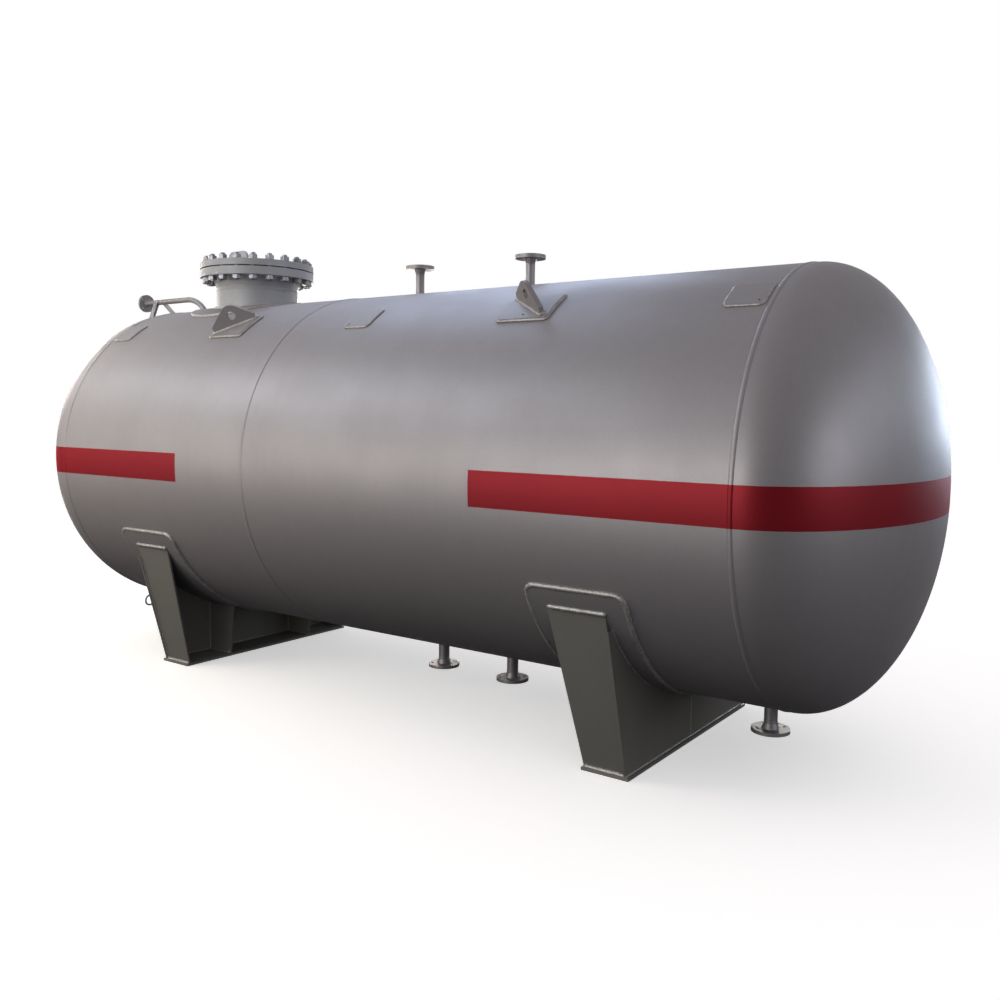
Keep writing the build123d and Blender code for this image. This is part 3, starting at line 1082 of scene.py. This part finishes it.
@dataclass
class Nozzle:
    """One flanged nozzle on the top or the bottom of the shell."""

    name: str
    x: float
    level: Level
    pipe_radius: float
    hub_length: float
    projection: float
    vessel: Vessel = field(default_factory=Vessel)
    bead_out: float = 1.0
    butt_sink: float = 0.3
    shell_steps: int = 48
    butt_steps: int = 40
    shell_bead: Bead = Bead(7.0, 6.5)
    butt_bead: Bead = Bead(4.0, 1.4)

    def build(self, frame: dict[str, Any], finishes: Finishes) -> None:
        """Paints the nozzle and welds it.

        Args:
            frame: The loaded frame.
            finishes: The tank's materials.
        """
        dress(frame, (f"{self.name}_pipe", f"{self.name}_flange"), finishes.vessel)
        beads = WeldBeads(f"{self.name}_welds")
        around = self.pipe_radius + self.bead_out
        loop = [
            self.vessel.at_plan(
                self.x + around * math.cos(turn), around * math.sin(turn), self.bead_out, self.level
            )
            for turn in full_turn(self.shell_steps)
        ]
        beads.lay(self.vessel.trail(loop), self.shell_bead, closed=True)
        reach = self.vessel.radius + self.projection - self.hub_length
        centre = Vector((self.x, 0.0, self.vessel.axis_height + self.level.value * reach)) * MM
        beads.ring(
            centre, Vector((0.0, 0.0, 1.0)), self.pipe_radius - self.butt_sink, self.butt_bead, self.butt_steps
        )
        beads.publish(finishes.vessel, Slot.VESSEL)


@dataclass
class LiftingLug:
    """One lifting lug on its pad."""

    end: End
    side: Side
    vessel: Vessel = field(default_factory=Vessel)
    x: float = 960.0
    angle: float = 35.7
    pad_length: float = 250.0
    pad_arc: float = 190.0
    pad_lift: float = 12.3
    pad_corner: float = 15.0
    base: float = 242.0
    thickness: float = 20.0
    turn: float = 36.0
    pad_bead_out: float = 1.5
    pad_bead_lift: float = 4.0
    foot_bead_out: float = 1.0
    foot_corner: float = 4.0
    pad_bead: Bead = Bead(7.5, 6.5)
    lug_bead: Bead = Bead(8.5, 8.0)

    def build(self, frame: dict[str, Any], finishes: Finishes) -> None:
        """Paints the lug and its pad and welds them.

        Args:
            frame: The loaded frame.
            finishes: The tank's materials.
        """
        place = f"{self.side.name.lower()}_{self.end.name.lower()}"
        dress(frame, (f"lifting_lug_{place}", f"lifting_pad_{place}"), finishes.vessel)
        beads = WeldBeads(f"lifting_{place}_welds")
        angle = -self.side.value * self.angle
        loop = pad_loop(
            self.vessel, self.end.value * self.x, angle, self.pad_length / 2 + self.pad_bead_out,
            self.pad_arc / 2 + self.pad_bead_out, self.pad_corner, self.pad_bead_lift,
        )
        beads.lay(self.vessel.trail(loop), self.pad_bead, closed=True)
        beads.lay(self.vessel.trail(self._foot()), self.lug_bead, closed=True)
        beads.publish(finishes.weld, Slot.VESSEL)

    def _foot(self) -> list[Vector]:
        """Goes round the lug's foot on its pad.

        Returns:
            Points round the foot, in metres.
        """
        turn = math.radians(self.turn)
        half_base, half_thickness = (size / 2 + self.foot_bead_out for size in (self.base, self.thickness))
        points = []
        for along, across in rounded_loop(half_base, half_thickness, self.foot_corner):
            dx = along * math.cos(turn) + across * math.sin(turn)
            arc = along * math.sin(turn) - across * math.cos(turn)
            angle = self.angle + math.degrees(arc / (self.vessel.radius + self.pad_lift))
            points.append(self.vessel.at_angle(
                self.end.value * (self.x + dx), -self.side.value * angle, self.pad_lift + self.foot_bead_out
            ))
        return points


@dataclass
class BracketPads:
    """Row of small pads along one shoulder of the shell."""

    side: Side
    vessel: Vessel = field(default_factory=Vessel)
    places: tuple[float, ...] = (-1925.0, -10.0, 1925.0)
    angle: float = 35.7
    length: float = 150.0
    corner: float = 20.0
    bead_out: float = 1.0
    bead_lift: float = 2.5
    bead: Bead = Bead(6.5, 5.5)

    def build(self, frame: dict[str, Any], finishes: Finishes) -> None:
        """Paints the pads and welds them.

        Args:
            frame: The loaded frame.
            finishes: The tank's materials.
        """
        name = f"bracket_pads_{self.side.name.lower()}"
        dress(frame, (name,), finishes.vessel)
        beads = WeldBeads(f"{name}_welds")
        half = self.length / 2 + self.bead_out
        for x in self.places:
            loop = pad_loop(self.vessel, x, -self.side.value * self.angle, half, half, self.corner, self.bead_lift)
            beads.lay(self.vessel.trail(loop), self.bead, closed=True)
        beads.publish(finishes.weld, Slot.VESSEL)


@dataclass
class GaugePipe:
    """Level gauge pipe over the left head, with its stays."""

    vessel: Vessel = field(default_factory=Vessel)
    rise: float = 91.0
    pipe_radius: float = 17.0
    weld_end: float = -2515.0
    bend_x: float = -2096.0
    bend_radius: float = 233.0
    strut_x: float = -2410.0
    strut_width: float = 38.0
    strut_rise: float = 11.0
    strut_splay: float = 20.5
    brace_x: float = -2361.0
    brace_width: float = 30.0
    brace_slope: float = 37.0
    brace_longest: int = 400
    bead_out: float = 1.0
    butt_sink: float = 0.3
    shell_steps: int = 40
    butt_steps: int = 32
    strut_steps: int = 8
    brace_steps: int = 4
    shell_bead: Bead = Bead(6.0, 5.5)
    stay_bead: Bead = Bead(4.5, 4.0)
    butt_bead: Bead = Bead(3.5, 1.2)

    def build(self, frame: dict[str, Any], finishes: Finishes) -> None:
        """Paints the pipe and its stays and welds them.

        Args:
            frame: The loaded frame.
            finishes: The tank's materials.
        """
        dress(frame, ("gauge_pipe", "gauge_flange", "gauge_pipe_strut", "gauge_pipe_brace"), finishes.vessel)
        beads = WeldBeads("gauge_pipe_welds")
        height = self.vessel.axis_height + self.vessel.radius + self.rise
        for x in (self.weld_end, self.bend_x):
            centre = Vector((x, 0.0, height)) * MM
            beads.ring(
                centre, Vector((1.0, 0.0, 0.0)), self.pipe_radius - self.butt_sink, self.butt_bead, self.butt_steps
            )
        self._weld_stays(beads)
        drop = self.bend_radius - self.rise
        run = math.sqrt(self.bend_radius**2 - drop**2)
        half_length = self.pipe_radius * self.bend_radius / run + self.bead_out
        half_width = self.pipe_radius + self.bead_out
        loop = [
            self.vessel.at_plan(
                self.bend_x + run + half_length * math.cos(turn), half_width * math.sin(turn), self.bead_out
            )
            for turn in full_turn(self.shell_steps)
        ]
        beads.lay(self.vessel.trail(loop), self.shell_bead, closed=True)
        beads.publish(finishes.vessel, Slot.VESSEL)

    def _weld_stays(self, beads: WeldBeads) -> None:
        """Welds the feet of the strut and the brace to the left head.

        Args:
            beads: The pipe's beads.
        """
        top = self.vessel.radius + self.rise
        lean = math.tan(math.radians(self.strut_splay))
        foot = []
        for step in range(self.strut_steps + 1):
            x = self.strut_x + self.strut_width * (step / self.strut_steps - 0.5)
            drop = self.vessel.head_meets(
                x, lambda fall: (-self.pipe_radius - fall * lean, top + self.strut_rise - fall)
            )
            foot.append(self.vessel.at_head(x, -self.pipe_radius - drop * lean))
        beads.lay([(point, Vector((-0.6, -0.6, 0.5))) for point in foot], self.stay_bead)
        slope = math.tan(math.radians(self.brace_slope))
        reach = next(
            run for run in range(self.brace_longest)
            if self.vessel.head_radius(self.brace_x + run) > top - run * slope
        )
        foot = [
            self.vessel.at_head(self.brace_x + reach, self.brace_width * (step / self.brace_steps - 0.5))
            for step in range(self.brace_steps + 1)
        ]
        beads.lay([(point, Vector((-0.5, 0.0, 0.9))) for point in foot], self.stay_bead)


@dataclass
class TieRing:
    """Round-bar ring on the left saddle's web."""

    web_face: float = -1505.0
    edge_y: float = -716.1
    height: float = 372.0
    radius: float = 27.0
    bar_radius: float = 5.0
    weld_reach: float = 60.0
    weld_steps: int = 12
    bead: Bead = Bead(4.0, 3.5)

    def build(self, frame: dict[str, Any], finishes: Finishes) -> None:
        """Paints the ring and welds it along both sides of its bar.

        Args:
            frame: The loaded frame.
            finishes: The tank's materials.
        """
        dress(frame, ("tie_ring",), finishes.vessel)
        beads = WeldBeads("tie_ring_welds")
        away = Vector((-1.0, 0.0, 0.0))
        turns = [
            math.radians(self.weld_reach * (2 * step / self.weld_steps - 1)) for step in range(self.weld_steps + 1)
        ]
        for radius in (self.radius - self.bar_radius, self.radius + self.bar_radius):
            arc = [
                Vector((
                    self.web_face, self.edge_y + radius * math.cos(turn), self.height + radius * math.sin(turn)
                )) * MM
                for turn in turns
            ]
            beads.lay([(point, away) for point in arc], self.bead)
        beads.publish(finishes.vessel, Slot.VESSEL)


@dataclass(frozen=True)
class SoftBox:
    """One soft lamp placed round the tank, for the paint's sheen or, where it is a fill, for its own colour."""

    name: str
    bearing: float
    elevation: float
    power: float
    colour: str
    size: tuple[float, float] = (3.0, 1.8)
    distance: float = 8.0
    fill: bool = False

    def hang(self, centre: Vector, lowest: float) -> None:
        """Puts the lamp in the scene, facing the tank.

        Args:
            centre: Point that the lamp faces, in metres.
            lowest: Least height of the lamp over the floor.
        """
        bearing, elevation = math.radians(self.bearing), math.radians(self.elevation)
        way = Vector((
            -math.cos(bearing) * math.cos(elevation), -math.sin(bearing) * math.cos(elevation), math.sin(elevation)
        ))
        place = centre + way * self.distance
        place.z = max(place.z, lowest)
        data = bpy.data.lights.new(self.name, "AREA")
        data.shape = "RECTANGLE"
        data.size, data.size_y = self.size
        data.energy = self.power
        data.color = linear(self.colour)[:3]
        lamp = bpy.data.objects.new(self.name, data)
        bpy.context.scene.collection.objects.link(lamp)
        lamp.location = place
        lamp.rotation_euler = (centre - place).to_track_quat("-Z", "Y").to_euler()
        lamp.visible_camera = False
        lamp.visible_diffuse = self.fill
        lamp.visible_glossy = not self.fill


@dataclass
class Studio:
    """Pale floor, white surround, soft lamps and the camera, in metres."""

    lamps: tuple[SoftBox, ...] = (
        SoftBox("left_fill", 12.0, 14.0, 80.0, "#fff0dc", fill=True),
        SoftBox("left_key", 38.0, 13.0, 40.0, "#fff2da", (1.6, 1.0), 4.2, fill=True),
        SoftBox("left_end", -5.0, 14.0, 900.0, "#fff8f0"),
        SoftBox("left_top", 15.0, 52.0, 300.0, "#e4ecff"),
        SoftBox("left_front", 30.0, 25.0, 900.0, "#fbfdff"),
        SoftBox("left_low", 45.0, 4.0, 2200.0, "#fff6ec"),
        SoftBox("front_top", 45.0, 36.0, 4000.0, "#eef4ff"),
        SoftBox("front_low", 80.0, 4.0, 7700.0, "#fffaf4"),
        SoftBox("right_end", 178.0, 7.0, 2300.0, "#f6f9ff"),
        SoftBox("right_back", 205.0, 14.0, 800.0, "#e8f0ff"),
        SoftBox("back_low", -116.0, 6.0, 800.0, "#dceaff"),
        SoftBox("rear_low", -80.0, 4.0, 1500.0, "#fffaf4"),
        SoftBox("rear_left", -42.0, 5.0, 2200.0, "#fff6ec"),
        SoftBox("back_top", -60.0, 36.0, 600.0, "#c9dcff"),
        SoftBox("back_left", -30.0, 52.0, 1850.0, "#c9dcff"),
    )
    lamp_centre: tuple[float, float, float] = (0.3, -0.5, 1.3)
    lamp_lowest: float = 0.6
    floor_size: float = 60.0
    sky: str = "#f1edf0"
    sky_strength: float = 0.68
    white: str = "#ffffff"
    floor_colour: str = "#f4f4f4"
    floor_bounce: str = "#242322"
    floor_glow: float = 0.5
    lens: float = 34.348
    shift: tuple[float, float] = (-0.00282, -0.01356)
    sensor: float = 36.0
    farthest: float = 200.0
    eye: tuple[float, float, float] = (3.2457, -3.9446, 1.4715)
    yaw: float = 35.3646
    pitch: float = 4.5104
    roll: float = -0.6775

    def build(self) -> None:
        """Sets up the surround, the lamps and the camera."""
        bpy.context.scene.view_settings.view_transform = "Standard"
        self._surround()
        self._floor()
        for lamp in self.lamps:
            lamp.hang(Vector(self.lamp_centre), self.lamp_lowest)
        self._camera()

    def _background(self, tree: bpy.types.NodeTree, path: bpy.types.Node) -> bpy.types.NodeSocket:
        """Tells the rays that show the background from those that light the tank.

        Args:
            tree: Node tree of the world or the floor.
            path: Its light path node.

        Returns:
            Socket that is 1 for camera, glossy and transmission rays and 0 for the others.
        """
        seen = add_node(
            tree, "ShaderNodeMath",
            {0: path.outputs["Is Camera Ray"], 1: path.outputs["Is Glossy Ray"]}, operation="MAXIMUM",
        )
        shown = add_node(
            tree, "ShaderNodeMath",
            {0: seen.outputs[0], 1: path.outputs["Is Transmission Ray"]}, operation="MAXIMUM",
        )
        return shown.outputs[0]

    def _surround(self) -> None:
        """Makes the world white to the eye and a plain soft sky to the paint."""
        world = bpy.data.worlds.new("studio")
        bpy.context.scene.world = world
        world.use_nodes = True
        tree = world.node_tree
        tree.nodes.clear()
        shown = self._background(tree, add_node(tree, "ShaderNodeLightPath"))
        sky = add_node(
            tree, "ShaderNodeBackground", {"Color": linear(self.sky), "Strength": self.sky_strength}
        )
        white = add_node(tree, "ShaderNodeBackground", {"Color": linear(self.white), "Strength": 1.0})
        mix = add_node(tree, "ShaderNodeMixShader", {0: shown, 1: sky.outputs[0], 2: white.outputs[0]})
        add_node(tree, "ShaderNodeOutputWorld", {"Surface": mix.outputs[0]})

    def _floor(self) -> None:
        """Lays a pale floor that keeps the tank's shadow."""
        material, tree = empty_material("pale_studio_floor")
        path = add_node(tree, "ShaderNodeLightPath")
        colour = add_node(
            tree, "ShaderNodeMix",
            {
                "Factor": self._background(tree, path),
                6: linear(self.floor_bounce), 7: linear(self.floor_colour),
            },
            data_type="RGBA",
        )
        glow = add_node(
            tree, "ShaderNodeMath",
            {0: path.outputs["Is Camera Ray"], 1: self.floor_glow}, operation="MULTIPLY",
        )
        matt = add_node(tree, "ShaderNodeBsdfDiffuse", {"Color": colour.outputs[2]})
        bright = add_node(
            tree, "ShaderNodeEmission", {"Color": linear(self.white), "Strength": glow.outputs[0]}
        )
        both = add_node(tree, "ShaderNodeAddShader", {0: matt.outputs[0], 1: bright.outputs[0]})
        add_node(tree, "ShaderNodeOutputMaterial", {"Surface": both.outputs[0]})
        bm = bmesh.new()
        bmesh.ops.create_grid(bm, x_segments=1, y_segments=1, size=self.floor_size / 2)
        mesh = bpy.data.meshes.new("studio_floor")
        bm.to_mesh(mesh)
        bm.free()
        mesh.materials.append(material)
        floor = bpy.data.objects.new("studio_floor", mesh)
        bpy.context.scene.collection.objects.link(floor)

    def _camera(self) -> None:
        """Stands the camera where the photograph was taken."""
        yaw, pitch, roll = (math.radians(angle) for angle in (self.yaw, self.pitch, self.roll))
        ahead = Vector((
            -math.sin(yaw) * math.cos(pitch), math.cos(yaw) * math.cos(pitch), -math.sin(pitch)
        ))
        level = Vector((math.cos(yaw), math.sin(yaw), 0.0))
        down = ahead.cross(level)
        right = level * math.cos(roll) + down * math.sin(roll)
        up = level * math.sin(roll) - down * math.cos(roll)
        turned = Matrix((right, up, -ahead)).transposed()
        data = bpy.data.cameras.new("photograph")
        data.sensor_width = self.sensor
        data.lens = self.lens
        data.shift_x, data.shift_y = self.shift
        data.clip_end = self.farthest
        camera = bpy.data.objects.new("photograph", data)
        bpy.context.scene.collection.objects.link(camera)
        camera.matrix_world = Matrix.Translation(self.eye) @ turned.to_4x4()
        bpy.context.scene.camera = camera


def main() -> None:
    """Builds the tank's looks and the studio round it."""
    logging.basicConfig(level=logging.INFO, format="%(name)s: %(message)s")
    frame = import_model()
    finishes = Finishes.build()
    Shell().build(frame, finishes)
    for end in End:
        Saddle(end).build(frame, finishes)
    Manway().build(frame, finishes)
    nozzles = (
        Nozzle("top_nozzle_left", -110.0, Level.TOP, 22.5, 45.0, 155.0),
        Nozzle("top_nozzle_right", 597.0, Level.TOP, 22.5, 45.0, 155.0),
        Nozzle("bottom_nozzle_left", 72.0, Level.BOTTOM, 28.5, 48.0, 158.0),
        Nozzle("bottom_nozzle_middle", 521.0, Level.BOTTOM, 28.5, 48.0, 158.0),
        Nozzle("bottom_nozzle_right", 1873.0, Level.BOTTOM, 28.5, 48.0, 147.0),
    )
    for nozzle in nozzles:
        nozzle.build(frame, finishes)
    for side in Side:
        for end in End:
            LiftingLug(end, side).build(frame, finishes)
        BracketPads(side).build(frame, finishes)
    GaugePipe().build(frame, finishes)
    TieRing().build(frame, finishes)
    Studio().build()


if __name__ == "__main__":
    main()
